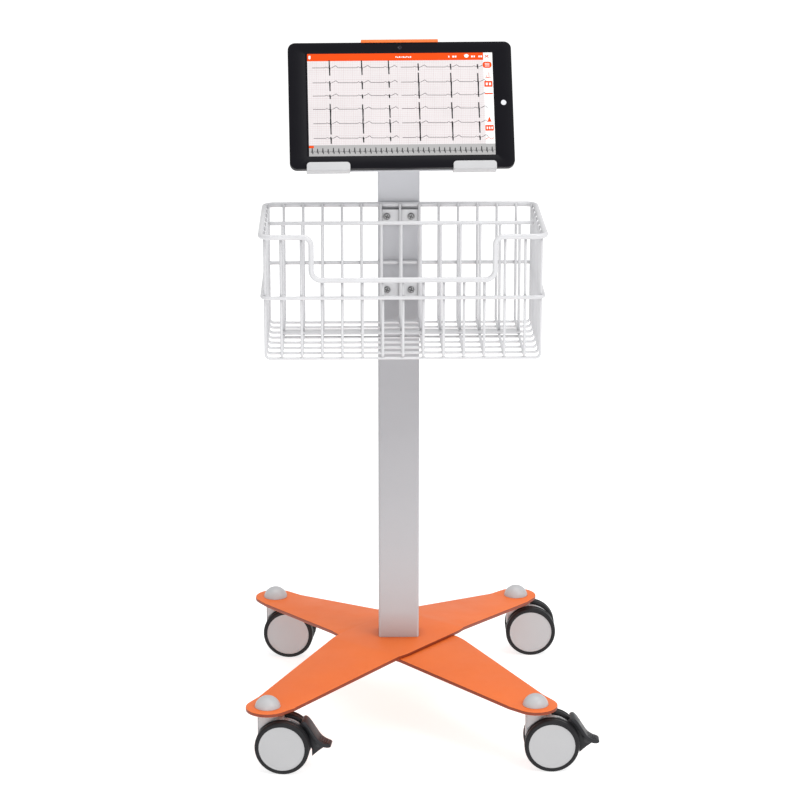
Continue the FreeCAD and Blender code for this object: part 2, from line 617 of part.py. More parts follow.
shape_node("power_button", button(6.0), HP.multiply(App.Placement(V(PBX, 0, 0), App.Rotation())))
rocker = merge([button(12.0), Part.makeCylinder(1.5, 5.0, V(0, 4.0, TU - 3.8), V(0, 1, 0))])
shape_node("volume_rocker", rocker, HP.multiply(App.Placement(V(VBX, 0, 0), App.Rotation())))

batt = box("BatteryPack", 150, 4.6, 92, V(0, 0, 0))
batt.Placement = HP.multiply(App.Placement(V(-75, 4.4, -60), App.Rotation()))
node(batt, "battery")
brd = fuse("BoardAssembly", [box("BoardSheet", 196, 1.4, 36, V(-98, 6.0, 40)), box("Processor", 18, 1.4, 18, V(-9, 4.9, 50)),
                             box("MemoryChip", 12, 1.2, 14, V(20, 5.1, 52)), box("LeadAmplifier", 24, 1.2, 14, V(-70, 5.1, 52))])
brd.Placement = HP
node(brd, "main_board")


def socket(rad_out, rad_in, deep, sg, z):
    o = Part.makeCylinder(rad_out, deep + 2, V(sg * TW, 6.2, z), V(-sg, 0, 0))
    return o.cut(Part.makeCylinder(rad_in, deep, V(sg * (TW + 0.0), 6.2, z), V(-sg, 0, 0)))


shape_node("cable_socket", socket(4.2, 3.0, 10.0, -1, -20), HP)
shape_node("charge_socket", socket(3.8, 2.8, 9.0, 1, -40), HP)

# holder: sheet back plate with the tilt ears
y0 = TT + 0.4
plate = merge([block(-62, 62, y0, y0 + 2.5, -62, 72), block(-128.6, 126.0, y0, y0 + 2.5, -TD - 0.5, -60)])
ears = []
for sg in (-1, 1):
    x0, x1 = (7.5, 13.5) if sg > 0 else (-13.5, -7.5)
    py, pz = pv.y, pv.z
    e = prism([V(x0, y0 + 1, pz - 20), V(x0, py, pz - 11), V(x0, py, pz + 11), V(x0, y0 + 1, pz + 20)], V(x1 - x0, 0, 0))
    e = merge([e, Part.makeCylinder(11, x1 - x0, V(x0, py, pz), V(1, 0, 0))])
    ears.append(e)
# rails that guide the clip's tail
rails = [block(20.4, 24.4, y0 + 1, y0 + 6.5, 22, 70), block(-24.4, -20.4, y0 + 1, y0 + 6.5, 22, 70),
         block(17.0, 24.4, y0 + 5.0, y0 + 6.5, 30, 66), block(-24.4, -17.0, y0 + 5.0, y0 + 6.5, 30, 66)]
hold = merge([plate] + ears + rails)
hold = hold.cut(Part.makeCylinder(g("shaft_rad") + 0.06, 60, V(-30, pv.y, pv.z), V(1, 0, 0)))
shape_node("holder_back_plate", hold if hold.ShapeType == "Solid" else hold.Solids[0], HP)

lips = []
for sg in (-1, 1):
    x0, x1 = (67.8, 126.0) if sg > 0 else (-128.6, -70.4)
    front_lip = block(x0, x1, -3.5, -0.3, -TD - 2.9, -TD + 8.5)
    es = [e for e in front_lip.Edges if abs(e.Vertexes[0].Point.y - e.Vertexes[1].Point.y) > 1e-6 and e.Vertexes[0].Point.z > -TD]
    front_lip = front_lip.makeFillet(5.0, es)
    es = [e for e in front_lip.Edges if abs(e.Vertexes[0].Point.y - e.Vertexes[1].Point.y) > 1e-6 and e.Vertexes[0].Point.z < -TD - 2]
    front_lip = front_lip.makeFillet(1.5, es)
    front_lip = front_lip.makeFillet(0.9, edges_at_y(front_lip, -3.5))
    shelf = block(x0, x1, -1.5, y0 + 2.5, -TD - 2.9, -TD - 0.5)
    shelf = shelf.makeFillet(1.5, [e for e in shelf.Edges if abs(e.Vertexes[0].Point.x - e.Vertexes[1].Point.x) > 1 and e.Vertexes[0].Point.z < -TD - 2 and e.Vertexes[0].Point.y > 5])
    lips.append(merge([front_lip, shelf]))
shape_node("holder_lips", Part.makeCompound(lips), HP)

# spring clip that closes over the tablet's top edge
tail = block(-20, 20, y0 + 2.8, y0 + 4.7, 35, TU + 3.5)
shelf = block(-52, 52, -0.36, y0 + 4.7, TU + 0.4, TU + 3.5)
nose = block(-52, 52, -1.6, -0.35, TU - 0.9, TU + 3.5)
clip = merge([tail, shelf, nose])
try:
    es = [e for e in clip.Edges if abs(abs(e.Vertexes[0].Point.x) - 52) < 1e-3 and abs(abs(e.Vertexes[-1].Point.x) - 52) < 1e-3
          and abs(e.Vertexes[0].Point.z - e.Vertexes[-1].Point.z) < 1e-6 and abs(e.Vertexes[0].Point.z - (TU + 3.5)) < 1e-6]
    es += [e for e in clip.Edges if e.Length > 100 and abs(e.Vertexes[0].Point.y + 1.6) < 1e-3]
    c2 = clip.makeFillet(1.0, es)
    if c2.isValid() and len(c2.Solids) == 1:
        clip = c2
except Exception:
    print("clip edges left square")
shape_node("top_clip", clip if clip.ShapeType == "Solid" else clip.Solids[0], HP)

# swivel post closes the column, the yoke turns on it and carries the tilt shaft
cw, cd, wl, ct = g("col_w") / 2, g("col_d") / 2, g("col_wall"), g("col_top")
flange = block(-cw, cw, -cd, cd, ct, ct + 3)
flange = flange.makeFillet(3.5, [e for e in flange.Edges if abs(e.Vertexes[0].Point.z - e.Vertexes[1].Point.z) > 1])
post = merge([block(-cw + wl + 0.1, cw - wl - 0.1, -cd + wl + 0.1, cd - wl - 0.1, ct - 26, ct), flange,
              Part.makeCylinder(9.0, 16, V(0, 0, ct + 3))])
shape_node("swivel_post", post)

PY, PZ = -PT[0], PT[1]
yb0 = ct + 3.4
yoke = merge([Part.makeCylinder(19.0, 13, V(0, 0, yb0)), block(-20, 20, -15, 15, yb0, yb0 + 13)])
for sg in (-1, 1):
    x0, x1 = (14.0, 20.0) if sg > 0 else (-20.0, -14.0)
    ear = prism([V(x0, -15, yb0), V(x0, 15, yb0), V(x0, 12, yb0 + 13), V(x0, PY + 9.0, PZ + 6.3), V(x0, PY - 11, PZ), V(x0, -15, yb0 + 8)], V(x1 - x0, 0, 0))
    ear = merge([ear, Part.makeCylinder(11, x1 - x0, V(x0, PY, PZ), V(1, 0, 0))])
    yoke = merge([yoke, ear])
yoke = yoke.cut(Part.makeCylinder(9.06, 30, V(0, 0, yb0 - 5)))
yoke = yoke.cut(Part.makeCylinder(g("shaft_rad"), 60, V(-30, PY, PZ), V(1, 0, 0)))
shape_node("tilt_yoke", yoke if yoke.ShapeType == "Solid" else yoke.Solids[0], turn)

shaft = cylinder("ShaftPin", "Dimensions.shaft_rad", 46.0, V(-23, PY, PZ), V(1, 0, 0))
heads = [cylinder("ShaftHead", 8.0, 3.0, V(-23.1, PY, PZ), V(1, 0, 0)), cylinder("ShaftNut", 8.0, 3.0, V(20.1, PY, PZ), V(1, 0, 0))]
sh = fuse("ShaftWithHeads", [shaft] + heads)
sh.Placement = turn
node(sh, "tilt_shaft")

# ------------------------------------------------------------------ write
doc.recompute()
bad = []
for o in doc.Objects:
    if "Invalid" in o.State or "Error" in o.State:
        bad.append("%s: %s" % (o.Name, o.State))
for o, label in NODES:
    s = o.Shape
    if s.isNull() or not s.isValid() or not s.Solids:
        bad.append("%s: bad shape" % label)
if bad:
    raise SystemExit("\n".join(bad))
os.makedirs("parts", exist_ok=True)
names = [label for _, label in NODES]
if len(set(names)) != len(names) or len(names) > 60:
    raise SystemExit("node names: %d" % len(names))
for o, label in NODES:
    o.Shape.exportStep("parts/%s.step" % label)
    print("%-28s solids %2d  volume %10.1f" % (label, len(o.Shape.Solids), o.Shape.Volume))
print("nodes", len(NODES))
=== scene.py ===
import bpy
import bmesh
import math
from mathutils import Matrix, Vector


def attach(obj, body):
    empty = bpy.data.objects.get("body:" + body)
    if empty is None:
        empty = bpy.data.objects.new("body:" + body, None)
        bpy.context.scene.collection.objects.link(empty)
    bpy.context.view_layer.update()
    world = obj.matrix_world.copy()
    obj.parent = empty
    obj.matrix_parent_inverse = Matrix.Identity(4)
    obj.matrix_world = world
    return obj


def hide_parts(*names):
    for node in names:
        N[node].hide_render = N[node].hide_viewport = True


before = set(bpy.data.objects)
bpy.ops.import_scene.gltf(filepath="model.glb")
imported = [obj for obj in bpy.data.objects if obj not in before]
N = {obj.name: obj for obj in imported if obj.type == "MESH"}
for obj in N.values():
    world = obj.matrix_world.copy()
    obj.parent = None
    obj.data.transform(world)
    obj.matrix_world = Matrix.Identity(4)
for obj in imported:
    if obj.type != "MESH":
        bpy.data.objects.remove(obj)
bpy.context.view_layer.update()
scene = bpy.context.scene
scene.view_settings.view_transform = "Standard"

# ------------------------------------------------------------- sizes, in mm
CX, CY = 182.5, 225.0
TP, PADT, HUBT = 5.0, 89.0, 112.0
LEN = math.hypot(CX, CY)
YAW = {"fl": -7.0, "fr": -1.0, "bl": -7.0, "br": -1.0}
POS = {"fl": (-CX, -CY), "fr": (CX, -CY), "bl": (-CX, CY), "br": (CX, CY)}
RW, HR, WI, WO, TR = 37.5, 32.4, 9.0, 26.0, 22.0


def rot(axis, deg):
    return Matrix.Rotation(math.radians(deg), 4, axis)


def mv(x, y, z):
    return Matrix.Translation((x, y, z))


HEAD = rot("Z", 2.3) @ mv(0, -60, 887) @ rot("X", -27)
CAST = {k: mv(POS[k][0], POS[k][1], 0) @ rot("Z", YAW[k]) for k in POS}


# ------------------------------------------------------------- materials
def shader(name, c1, c2=None, rough=(0.4, 0.5), cscale=20.0, grain=700.0, bump=0.15, depth=0.0002,
           metallic=0.0, coat=0.0, coat_rough=0.15, spec=0.5, glow=0.0, painted_crevice_shade=None, stretch=None,
           wear=None, fleck=None, painted_light_by_height=None):
    """Procedural surface: colour drift, uneven roughness, fine relief; optionally painted shade in crevices and
    painted light by height.
    """
    m = bpy.data.materials.new(name)
    m.use_nodes = True
    nt = m.node_tree
    bs = nt.nodes["Principled BSDF"]
    L = nt.links.new
    bs.inputs["Metallic"].default_value = metallic
    bs.inputs["Coat Weight"].default_value = coat
    bs.inputs["Coat Roughness"].default_value = coat_rough
    bs.inputs["Specular IOR Level"].default_value = spec
    tc = nt.nodes.new("ShaderNodeTexCoord")
    src = tc.outputs["Object"]
    if stretch:
        mp = nt.nodes.new("ShaderNodeMapping")
        mp.inputs["Scale"].default_value = stretch
        L(src, mp.inputs["Vector"])
        src = mp.outputs["Vector"]

    def noise(scale, detail, rough_=0.55):
        n = nt.nodes.new("ShaderNodeTexNoise")
        n.inputs["Scale"].default_value = scale
        n.inputs["Detail"].default_value = detail
        n.inputs["Roughness"].default_value = rough_
        L(src, n.inputs["Vector"])
        return n.outputs["Fac"]

    def mix(fac, a, b):
        x = nt.nodes.new("ShaderNodeMix")
        x.data_type = "RGBA"
        L(fac, x.inputs[0])
        for sock, val in ((x.inputs[6], a), (x.inputs[7], b)):
            if isinstance(val, tuple):
                sock.default_value = (val[0], val[1], val[2], 1)
            else:
                L(val, sock)
        return x.outputs[2]

    def span(val, a, b, lo=0.0, hi=1.0):
        x = nt.nodes.new("ShaderNodeMapRange")
        x.inputs["From Min"].default_value = a
        x.inputs["From Max"].default_value = b
        x.inputs["To Min"].default_value = lo
        x.inputs["To Max"].default_value = hi
        L(val, x.inputs["Value"])
        return x.outputs["Result"]

    c2 = c2 or tuple(0.88 * x for x in c1)
    col = mix(span(noise(cscale, 4), 0.32, 0.68), c1, c2)
    if fleck:
        v = nt.nodes.new("ShaderNodeTexVoronoi")
        v.inputs["Scale"].default_value = fleck[0]
        L(src, v.inputs["Vector"])
        col = mix(span(v.outputs["Distance"], 0.10, 0.22, 0.55, 0.0), col, fleck[1])
    # painted light: the colour is mixed lighter by height
    if painted_light_by_height:
        sp = nt.nodes.new("ShaderNodeSeparateXYZ")
        L(tc.outputs["Object"], sp.inputs["Vector"])
        for a_, b_, c_ in painted_light_by_height:
            col = mix(span(sp.outputs["Z"], a_, b_), col, c_)
    if wear:
        g = nt.nodes.new("ShaderNodeNewGeometry")
        w = span(g.outputs["Pointiness"], 0.52, 0.60, 0.0, 0.55)
        mu = nt.nodes.new("ShaderNodeMath")
        mu.operation = "MULTIPLY"
        L(w, mu.inputs[0])
        L(span(noise(90, 5), 0.42, 0.60), mu.inputs[1])
        col = mix(mu.outputs[0], col, wear)
    # painted shade: ambient occlusion darkens the colour in crevices, at wire crossings and in gaps between parts
    if painted_crevice_shade:
        ao = nt.nodes.new("ShaderNodeAmbientOcclusion")
        ao.inputs["Distance"].default_value = painted_crevice_shade[0]
        ao.samples = 8
        col = mix(span(ao.outputs["AO"], 0.25, 0.85), painted_crevice_shade[1], col)
    L(col, bs.inputs["Base Color"])
    L(span(noise(cscale * 2.6, 5), 0.3, 0.7, rough[0], rough[1]), bs.inputs["Roughness"])
    b = nt.nodes.new("ShaderNodeBump")
    b.inputs["Strength"].default_value = bump
    b.inputs["Distance"].default_value = depth
    L(noise(grain, 3), b.inputs["Height"])
    L(b.outputs["Normal"], bs.inputs["Normal"])
    if glow:
        L(col, bs.inputs["Emission Color"])
        bs.inputs["Emission Strength"].default_value = glow
    return m


# painted shade: a darker copy of the orange for the plates' side faces; the lighter mix at its edges is wear
PAINTED_SIDE_SHADE = shader("orange_side_painted_shade", (0.25, 0.033, 0.004), (0.21, 0.027, 0.003), (0.42, 0.52), 9, 1400, 0.22, 0.00012,
              wear=(0.42, 0.08, 0.02))
# painted shade: darker orange mixed into the crevices
ORANGE = shader("orange_powder", (0.86, 0.165, 0.020), (0.81, 0.146, 0.015), (0.42, 0.52), 9, 1400, 0.22, 0.00012,
                painted_crevice_shade=(0.02, (0.62, 0.095, 0.010)), wear=(0.88, 0.27, 0.07), fleck=(2200.0, (0.86, 0.21, 0.045)))
# painted light on the column: lighter above z 0.58 m and below z 0.42 m, darker between
GREY = shader("grey_powder", (0.385, 0.382, 0.400), (0.360, 0.357, 0.374), (0.40, 0.52), 7, 1400, 0.2, 0.0001,
              painted_light_by_height=((0.58, 0.80, (0.60, 0.605, 0.635)), (0.42, 0.11, (0.50, 0.51, 0.53))), fleck=(2400.0, (0.53, 0.53, 0.555)))
# painted shade: darker grey at the wire crossings and welds
WIRE = shader("wire_coat", (0.62, 0.62, 0.635), (0.585, 0.585, 0.60), (0.28, 0.38), 30, 900, 0.15, 0.0001, coat=0.25,
              painted_crevice_shade=(0.007, (0.30, 0.30, 0.31)))
# painted shade: near black in the crevices of the zinc parts
ZINC = shader("zinc_steel", (0.52, 0.53, 0.53), (0.36, 0.36, 0.35), (0.26, 0.42), 240, 2200, 0.25, 0.00006, metallic=1.0,
              painted_crevice_shade=(0.002, (0.06, 0.06, 0.06)))
PLATE = shader("disc_plastic", (0.46, 0.46, 0.468), (0.435, 0.435, 0.443), (0.36, 0.46), 14, 2600, 0.18, 0.00006)
# painted shade: darker grey in the housing's crevices
HOUSE = shader("housing_plastic", (0.47, 0.47, 0.48), (0.44, 0.44, 0.45), (0.40, 0.50), 18, 2400, 0.2, 0.00008,
               painted_crevice_shade=(0.006, (0.34, 0.34, 0.35)))
CAPM = shader("cap_plastic", (0.50, 0.50, 0.51), (0.47, 0.47, 0.48), (0.30, 0.40), 22, 2400, 0.1, 0.00005)
TYRE = shader("tyre_rubber", (0.011, 0.011, 0.013), (0.017, 0.017, 0.018), (0.48, 0.62), 40, 1800, 0.35, 0.0001, spec=0.22)
PEDAL = shader("pedal_plastic", (0.018, 0.019, 0.022), (0.012, 0.012, 0.015), (0.34, 0.46), 40, 2600, 0.5, 0.0001, spec=0.32,
               wear=(0.10, 0.10, 0.105))
BEZEL = shader("bezel_gloss", (0.0055, 0.0052, 0.0076), (0.0048, 0.0045, 0.0068), (0.34, 0.42), 12, 2600, 0.06, 0.00003, spec=0.10)
SHELL = shader("shell_plastic", (0.013, 0.013, 0.016), (0.010, 0.010, 0.013), (0.42, 0.56), 16, 2000, 0.45, 0.0001, spec=0.22)
LIPM = shader("lip_plastic", (0.53, 0.53, 0.54), (0.50, 0.50, 0.51), (0.34, 0.44), 18, 2400, 0.12, 0.00006)
LENS = shader("lens_glass", (0.010, 0.010, 0.016), (0.016, 0.012, 0.020), (0.10, 0.16), 60, 400, 0.02, 0.00002, coat=0.25, coat_rough=0.06, spec=0.2)
# painted shade: near black in the screws' crevices
SCREW = shader("screw_steel", (0.30, 0.30, 0.305), (0.17, 0.17, 0.17), (0.24, 0.38), 300, 2200, 0.25, 0.00006, metallic=1.0,
               painted_crevice_shade=(0.0035, (0.012, 0.012, 0.012)))
BOARD = shader("board", (0.02, 0.16, 0.06), (0.02, 0.12, 0.05), (0.35, 0.5), 120, 1200, 0.3, 0.0001)
WRAP = shader("battery_wrap", (0.09, 0.09, 0.10), (0.07, 0.07, 0.08), (0.3, 0.5), 40, 800, 0.3, 0.0001)
LED = shader("indicator", (0.70, 0.71, 0.74), (0.64, 0.65, 0.68), (0.18, 0.26), 200, 1200, 0.05, 0.00003, coat=0.5)


def ink(name, col, glow=0.18, rough=(0.22, 0.28)):
    return shader(name, col, tuple(0.96 * x for x in col), rough, 30, 1500, 0.02, 0.00001, glow=glow, spec=0.15)


U_PAPER = ink("screen_paper", (0.62, 0.595, 0.598))
U_GRID = ink("screen_grid", (0.55, 0.44, 0.45))
U_GRID2 = ink("screen_grid_bold", (0.48, 0.36, 0.37))
U_BAR = ink("screen_bar", (0.68, 0.060, 0.004))
U_WHITE = ink("screen_white", (0.78, 0.77, 0.77))
U_TRACE = ink("screen_trace", (0.020, 0.018, 0.022), 0.0)
U_STRIP = ink("screen_strip", (0.36, 0.355, 0.355), 0.12)
U_TICK = ink("screen_tick", (0.07, 0.07, 0.072), 0.0)


# ------------------------------------------------------------- mesh makers
class Mesh:
    def __init__(self):
        self.v, self.f = [], []

    def ring_stack(self, rings, closed=False, cap=(True, True)):
        """Quads between rings of equal length. closed joins the last ring to the first."""
        base, n = len(self.v), len(rings[0])
        for r in rings:
            self.v += [Vector(p) for p in r]
        k = len(rings)
        for i in range(k if closed else k - 1):
            a, b = base + i * n, base + ((i + 1) % k) * n
            for j in range(n):
                j2 = (j + 1) % n
                self.f.append((a + j, a + j2, b + j2, b + j))
        if not closed:
            if cap[0]:
                self.f.append(tuple(base + j for j in reversed(range(n))))
            if cap[1]:
                self.f.append(tuple(base + (k - 1) * n + j for j in range(n)))

    def tube(self, pts, r, n=12, closed=False):
        pts = [Vector(p) for p in pts]
        k = len(pts)
        tans = []
        for i in range(k):
            a = pts[(i - 1) % k] if closed or i else pts[0]
            b = pts[(i + 1) % k] if closed or i < k - 1 else pts[-1]
            tans.append((b - a).normalized())
        up = tans[0].orthogonal().normalized()
        frames = []
        for i in range(k):
            if i:
                up = (up - tans[i] * up.dot(tans[i])).normalized()
            frames.append((up.copy(), tans[i].cross(up).normalized()))
        twist = 0.0
        if closed:
            u = (up - tans[0] * up.dot(tans[0])).normalized()
            u0, w0 = frames[0]
            twist = math.atan2(u.dot(w0), u.dot(u0))
        rings = []

        def ring(i, rad, shift=0.0):
            u, w = frames[i]
            a0 = -twist * i / k
            return [pts[i] + tans[i] * shift + (u * math.cos(a0 + 2 * math.pi * j / n) + w * math.sin(a0 + 2 * math.pi * j / n)) * rad for j in range(n)]
        if not closed:
            e = 0.35 * r
            rings.append(ring(0, r - e))
            rings.append(ring(0, r, e))
        for i in range(k):
            if closed or 0 < i < k - 1:
                rings.append(ring(i, r))
        if not closed:
            rings.append(ring(k - 1, r, -e))
            rings.append(ring(k - 1, r - e))
        self.ring_stack(rings, closed)

    def bead(self, p, rx, ry, rz, n=10, m=6):
        base = len(self.v)
        p = Vector(p)
        self.v.append(p + Vector((0, 0, -rz)))
        for i in range(1, m):
            a = -math.pi / 2 + math.pi * i / m
            for j in range(n):
                b = 2 * math.pi * j / n
                self.v.append(p + Vector((rx * math.cos(a) * math.cos(b), ry * math.cos(a) * math.sin(b), rz * math.sin(a))))
        self.v.append(p + Vector((0, 0, rz)))
        top = len(self.v) - 1
        for j in range(n):
            j2 = (j + 1) % n
            self.f.append((base, base + 1 + j2, base + 1 + j))
            for i in range(m - 2):
                a, b = base + 1 + i * n, base + 1 + (i + 1) * n
                self.f.append((a + j, a + j2, b + j2, b + j))
            self.f.append((top, base + 1 + (m - 2) * n + j, base + 1 + (m - 2) * n + j2))

    def lathe(self, prof, M=Matrix.Identity(4), n=96, solid=False):
        """prof is (radius, height) from one end to the other; radius 0 makes a pole. solid closes the section instead."""
        if solid:
            rings = [[M @ Vector((r * math.cos(2 * math.pi * j / n), r * math.sin(2 * math.pi * j / n), h)) for j in range(n)] for r, h in prof]
            self.ring_stack(rings, closed=True)
            return
        inner = [p for p in prof if p[0] > 1e-6]
        base = len(self.v)
        rings = [[M @ Vector((r * math.cos(2 * math.pi * j / n), r * math.sin(2 * math.pi * j / n), h)) for j in range(n)] for r, h in inner]
        self.ring_stack(rings, cap=(False, False))
        for end, pole in ((0, prof[0]), (len(rings) - 1, prof[-1])):
            if pole[0] <= 1e-6:
                c = len(self.v)
                self.v.append(M @ Vector((0, 0, pole[1])))
                a = base + end * n
                for j in range(n):
                    j2 = (j + 1) % n
                    self.f.append((c, a + j2, a + j) if end == 0 else (c, a + j, a + j2))
            else:
                a = base + end * n
                self.f.append(tuple(a + j for j in (reversed(range(n)) if end == 0 else range(n))))

    def slab(self, outline, w0, w1, r, put, segs=3):
        """Plate with rounded edges: outline in (u, v), thick from w0 to w1, put(u, v, w) gives the point."""
        n = len(outline)
        pts = [Vector((p[0], p[1])) for p in outline]
        area = sum(pts[i].x * pts[(i + 1) % n].y - pts[(i + 1) % n].x * pts[i].y for i in range(n))
        if area < 0:
            pts.reverse()
        nor = []
        for i in range(n):
            a, b = (pts[i] - pts[i - 1]).normalized(), (pts[(i + 1) % n] - pts[i]).normalized()
            t = Vector((a.y + b.y, -(a.x + b.x)))
            ln = max(t.length, 0.3)
            t /= ln
            k = 1.0 / max(0.5, t.dot(Vector((a.y, -a.x))))
            nor.append(t * k)
        rings = []
        for i in range(segs + 1):
            q = math.pi / 2 * i / segs
            d, h = r * (1 - math.sin(q)), r * (1 - math.cos(q))
            rings.append([put(p.x - m.x * d, p.y - m.y * d, w0 + h) for p, m in zip(pts, nor)])
        for i in range(segs, -1, -1):
            q = math.pi / 2 * i / segs
            d, h = r * (1 - math.sin(q)), r * (1 - math.cos(q))
            rings.append([put(p.x - m.x * d, p.y - m.y * d, w1 - h) for p, m in zip(pts, nor)])
        self.ring_stack(rings)

    def flat(self, pts):
        base = len(self.v)
        self.v += [Vector(p) for p in pts]
        self.f.append(tuple(range(base, base + len(pts))))

    def make(self, name, mat, body, M=None, slot=None, rep=(), sharp=38, flip=True):
        me = bpy.data.meshes.new(name)
        M = M or Matrix.Identity(4)
        me.from_pydata([tuple((M @ p) * 0.001) for p in self.v], [], self.f)
        me.validate()
        if flip:
            bm = bmesh.new()
            bm.from_mesh(me)
            bmesh.ops.remove_doubles(bm, verts=bm.verts, dist=1e-7)
            bmesh.ops.recalc_face_normals(bm, faces=bm.faces)
            bm.to_mesh(me)
            bm.free()
        me.update()
        me.set_sharp_from_angle(angle=math.radians(sharp))
        me.materials.append(mat)
        ob = bpy.data.objects.new(name, me)
        scene.collection.objects.link(ob)
        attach(ob, body)
        if rep:
            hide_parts(*rep)
        return ob


def arc_path(points, radii, closed=False, step=9.0):
    """Straight runs joined by tangent arcs."""
    P = [Vector(p) for p in points]
    k = len(P)
    out = []
    for i in range(k):
        if not closed and i in (0, k - 1):
            out.append(P[i])
            continue
        r = radii[i] if closed else radii[i - 1]
        a, b, c = P[i - 1], P[i], P[(i + 1) % k]
        u, w = (a - b).normalized(), (c - b).normalized()
        ang = u.angle(w)
        t = r / math.tan(ang / 2)
        cen = b + (u + w).normalized() * (r / math.sin(ang / 2))
        p1, p2 = b + u * t, b + w * t
        n = max(3, int(math.ceil((180 - math.degrees(ang)) / step)))
        e1, e2 = p1 - cen, p2 - cen
        om = e1.angle(e2)
        for j in range(n + 1):
            s = j / n
            out.append(cen + (e1 * math.sin((1 - s) * om) + e2 * math.sin(s * om)) / math.sin(om))
    return out


def round_rect(x0, x1, z0, z1, r, seg=8):
    rs = r if isinstance(r, (list, tuple)) else [r] * 4
    out = []
    for (cx, cz, a0), q in zip(((x1, z1, 0), (x0, z1, 90), (x0, z0, 180), (x1, z0, 270)), rs):
        sx = -1 if cx == x1 else 1
        sz = -1 if cz == z1 else 1
        for j in range(seg + 1):
            a = math.radians(a0 + 90 * j / seg)
            out.append((cx + sx * q + q * math.cos(a), cz + sz * q + q * math.sin(a)))
    return out


def spline(pts, per=5):
    """Smooth closed outline through the points."""
    n, out = len(pts), []
    for i in range(n):
        p0, p1, p2, p3 = (Vector(pts[(i + k) % n]) for k in (-1, 0, 1, 2))
        for j in range(per):
            t = j / per
            out.append(0.5 * ((2 * p1) + (p2 - p0) * t + (2 * p0 - 5 * p1 + 4 * p2 - p3) * t * t + (3 * p1 - 3 * p2 + p3 - p0) * t ** 3))
    return [(p.x, p.y) for p in out]


# ------------------------------------------------------------- CAD nodes that stay
def tidy(name, mat, bevel=0.25, segments=2, angle=32):
    """Joins the split faces of a CAD node and softens its sharp edges, with modifiers only."""
    o = N[name]
    me = o.data
    if "custom_normal" in me.attributes:
        me.attributes.remove(me.attributes["custom_normal"])
    me.materials.clear()
    me.materials.append(mat)
    for p in me.polygons:
        p.use_smooth = True
        p.material_index = 0
    w = o.modifiers.new("weld", "WELD")
    w.merge_threshold = 4e-6
    d = o.modifiers.new("flat", "DECIMATE")
    d.decimate_type = "DISSOLVE"
    d.angle_limit = math.radians(0.4)
    if bevel:
        b = o.modifiers.new("edge", "BEVEL")
        b.width = bevel * 0.001
        b.segments = segments
        b.limit_method = "ANGLE"
        b.angle_limit = math.radians(angle)
        b.use_clamp_overlap = False
        b.miter_outer = "MITER_ARC"
    n = o.modifiers.new("normals", "WEIGHTED_NORMAL")
    n.weight = 80
    n.keep_sharp = True
    return o


# ------------------------------------------------------------- base plates
def plate(label, angle, top):
    w_mid, r = 63.0, 30.0
    s0, s1, s2 = 60.0, 74.0, LEN - 19.5
    dx = LEN - s0
    al = math.asin(r / math.hypot(dx, w_mid))
    tl = math.sqrt(dx * dx + w_mid * w_mid - r * r)
    a0 = math.atan2(-w_mid, dx)
    tx, ty = s0 + tl * math.cos(a0 + al), w_mid + tl * math.sin(a0 + al)

    def half(s):
        s = abs(s)
        if s <= s0:
            return w_mid
        if s <= tx:
            return w_mid + (ty - w_mid) * (s - s0) / (tx - s0)
        return math.sqrt(max(0.0, r * r - (s - LEN) ** 2))

    def z_lin(s):
        s = abs(s)
        return top if s <= s1 else PADT if s >= s2 else top + (PADT - top) * (s - s1) / (s2 - s1)

    def z_of(s):
        return sum(z_lin(s + q) for q in range(-4, 5)) / 9.0

    def half_soft(s):
        return sum(half(s + q) for q in range(-4, 5)) / 9.0 if abs(s) < tx - 8 else half(s)
    st = set()
    for q in range(-7, 8):
        for c in (s0, s1, s2, -s0, -s1, -s2):
            st.add(round(c + q, 3))
    for q in range(-int(s2), int(s2), 15):
        st.add(float(q))
    for j in range(1, 25):
        a = math.pi / 2 * j / 24
        tip = LEN + r * math.sin(a) if j < 24 else LEN + r
        st.add(tip)
        st.add(-tip)
    st.add(LEN)
    st.add(-LEN)
    st = sorted(st)
    side = [(s, half_soft(s)) for s in st[1:-1]]
    loop = [(st[0], 0.0)] + [(s, -w) for s, w in side] + [(st[-1], 0.0)] + [(s, w) for s, w in reversed(side)]
    k = len(loop)
    nor = []
    for i in range(k):
        a, b = Vector(loop[i - 1]), Vector(loop[(i + 1) % k])
        t = (b - a).normalized()
        nor.append(Vector((t.y, -t.x)))
    m = Mesh()
    e, seg = 0.9, 3
    layers = []
    for i in range(seg + 1):
        q = math.pi / 2 * i / seg
        layers.append((e * (1 - math.sin(q)), e * (1 - math.cos(q))))
    layers += [(d, TP - h) for d, h in reversed(layers)]
    rings = []
    for d, h in layers:
        ring = []
        for (s, t), n in zip(loop, nor):
            ss, tt = s - n.x * d, t - n.y * d
            sl = (z_of(ss + 0.5) - z_of(ss - 0.5))
            q = math.hypot(1, sl)
            ring.append(Vector((ss + h * sl / q, tt, z_of(ss) - h / q)))
        rings.append(ring)
    m.ring_stack(rings, cap=(False, False))
    # top and bottom are strips across the plate
    ns = len(side)
    for li, rev in ((0, False), (len(layers) - 1, True)):
        b = li * k
        right = [b + 1 + i for i in range(ns)]
        left = [b + k - 1 - i for i in range(ns)]
        faces = [(b, right[0], left[0])] + [(right[i], right[i + 1], left[i + 1], left[i]) for i in range(ns - 1)] + [(right[-1], b + ns + 1, left[-1])]
        m.f += [tuple(reversed(f)) if rev else f for f in faces]
    ob = m.make(label + "_sheet", ORANGE, "root", rot("Z", angle), "orange_powder_coat", [label], sharp=40)
    # side faces take the darker orange copy: painted shade
    ob.data.materials.append(PAINTED_SIDE_SHADE)
    for p in ob.data.polygons:
        p.material_index = 1 if abs(p.normal.z) < 0.7 else 0
    return ob


ANG = math.degrees(math.atan2(CY, CX))
plate("base_plate_upper", ANG, HUBT)
plate("base_plate_lower", -ANG, HUBT - TP)

